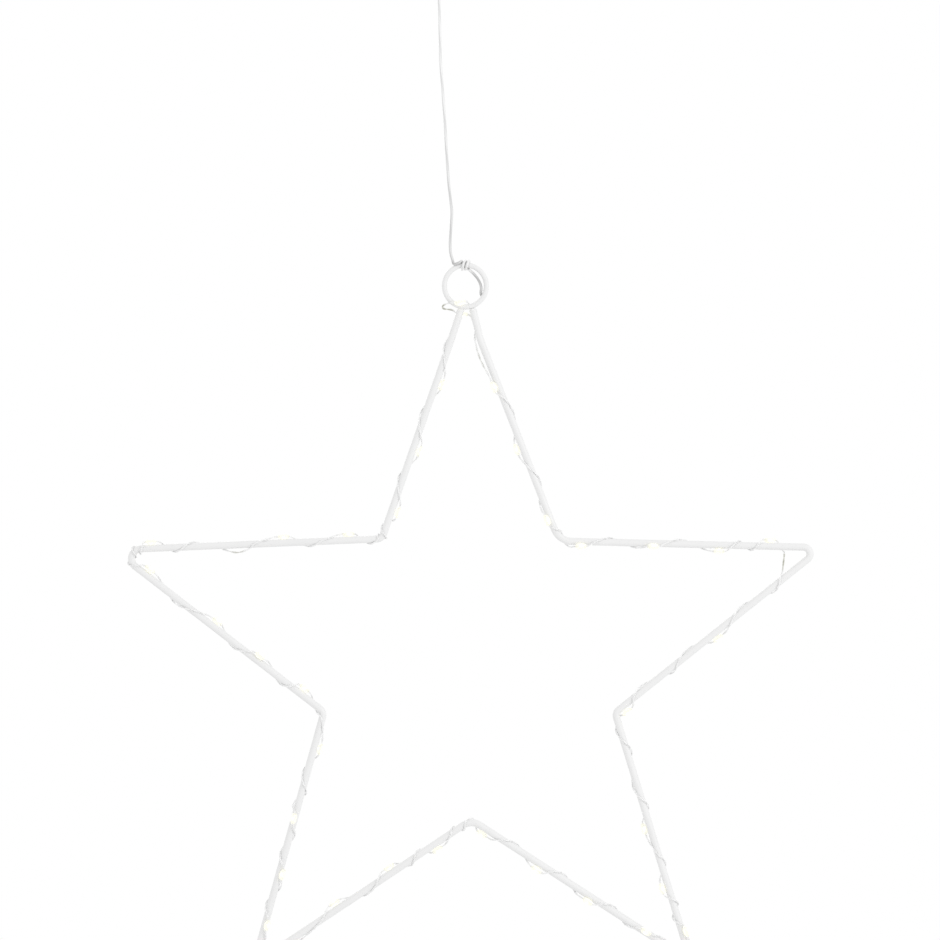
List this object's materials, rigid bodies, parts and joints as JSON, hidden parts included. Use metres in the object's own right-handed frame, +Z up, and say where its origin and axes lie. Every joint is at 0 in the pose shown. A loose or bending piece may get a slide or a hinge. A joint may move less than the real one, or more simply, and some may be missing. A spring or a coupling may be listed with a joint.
{
  "type": "led christmas star",
  "caption": "White wire star wound with a string of small warm LED drops, hanging by a thin lead from a slim battery case with a switch.",
  "frame": {"origin": "centre of the hanging hole in the tab on top of the battery case", "axes": "+X to the right seen from the front, the front towards -Y, +Z up"},
  "size_m": [0.4025, 0.0207, 0.6859],
  "materials": {
    "white_paint": "satin white powder coat on bent steel wire",
    "string_wire": "two thin twisted strands, silver-coloured and lacquered",
    "lit_drop": "clear resin drop over a lit warm white chip",
    "clear_lead": "clear insulation over two silver-coloured strands",
    "white_sleeve": "shrunk white tubing",
    "white_plastic": "fine-textured moulded white plastic",
    "black_plastic": "moulded black plastic",
    "soft_relief": "soft white moulded grommet",
    "board": "green solder mask",
    "cell": "plain printed sleeve with bare metal ends",
    "contact_steel": "nickel-plated spring steel"
  },
  "bodies": {
    "case": {"battery_case": "white_plastic", "switch_cover": "white_plastic", "circuit_board": "board", "cell_1": "cell", "cell_2": "cell", "contact_spring_1": "contact_steel", "contact_spring_2": "contact_steel", "bridge_plate": "contact_steel", "terminal_plate": "contact_steel", "hanging_tab": "white_plastic", "strain_relief": "soft_relief"},
    "lead": {"lead_cable": "clear_lead"},
    "star": {"star_frame": "white_paint", "hanging_ring": "white_paint", "light_string": "string_wire", "led_drop_01": "lit_drop", "led_drop_02": "lit_drop", "led_drop_03": "lit_drop", "led_drop_04": "lit_drop", "led_drop_05": "lit_drop", "led_drop_06": "lit_drop", "led_drop_07": "lit_drop", "led_drop_08": "lit_drop", "led_drop_09": "lit_drop", "led_drop_10": "lit_drop", "led_drop_11": "lit_drop", "led_drop_12": "lit_drop", "led_drop_13": "lit_drop", "led_drop_14": "lit_drop", "led_drop_15": "lit_drop", "led_drop_16": "lit_drop", "led_drop_17": "lit_drop", "led_drop_18": "lit_drop", "led_drop_19": "lit_drop", "led_drop_20": "lit_drop", "led_drop_21": "lit_drop", "led_drop_22": "lit_drop", "led_drop_23": "lit_drop", "led_drop_24": "lit_drop", "led_drop_25": "lit_drop", "led_drop_26": "lit_drop", "led_drop_27": "lit_drop", "led_drop_28": "lit_drop", "led_drop_29": "lit_drop", "led_drop_30": "lit_drop", "led_drop_31": "lit_drop", "led_drop_32": "lit_drop", "led_drop_33": "lit_drop", "led_drop_34": "lit_drop", "led_drop_35": "lit_drop", "led_drop_36": "lit_drop", "led_drop_37": "lit_drop", "led_drop_38": "lit_drop", "led_drop_39": "lit_drop", "led_drop_40": "lit_drop", "lead_turns": "clear_lead", "splice_sleeve": "white_sleeve"},
    "cover": {"battery_cover": "white_plastic"},
    "switch": {"switch_slider": "black_plastic"}
  },
  "joints": [
    {"name": "lead_sway", "type": "hinge", "parent": "case", "child": "lead", "pos_m": [0, 0, -0.087], "axis": [0, 1, 0], "range_deg": [-15, 15]},
    {"name": "star_swing", "type": "hinge", "parent": "lead", "child": "star", "pos_m": [0.00091, 0, -0.26804], "axis": [1, 0, 0], "range_deg": [-20, 20]},
    {"name": "cover_slide", "type": "slide", "parent": "case", "child": "cover", "axis": [0, 0, 1], "range_m": [0, 0.06]},
    {"name": "switch_slide", "type": "slide", "parent": "case", "child": "switch", "axis": [1, 0, 0], "range_m": [0, 0.003]}
  ]
}
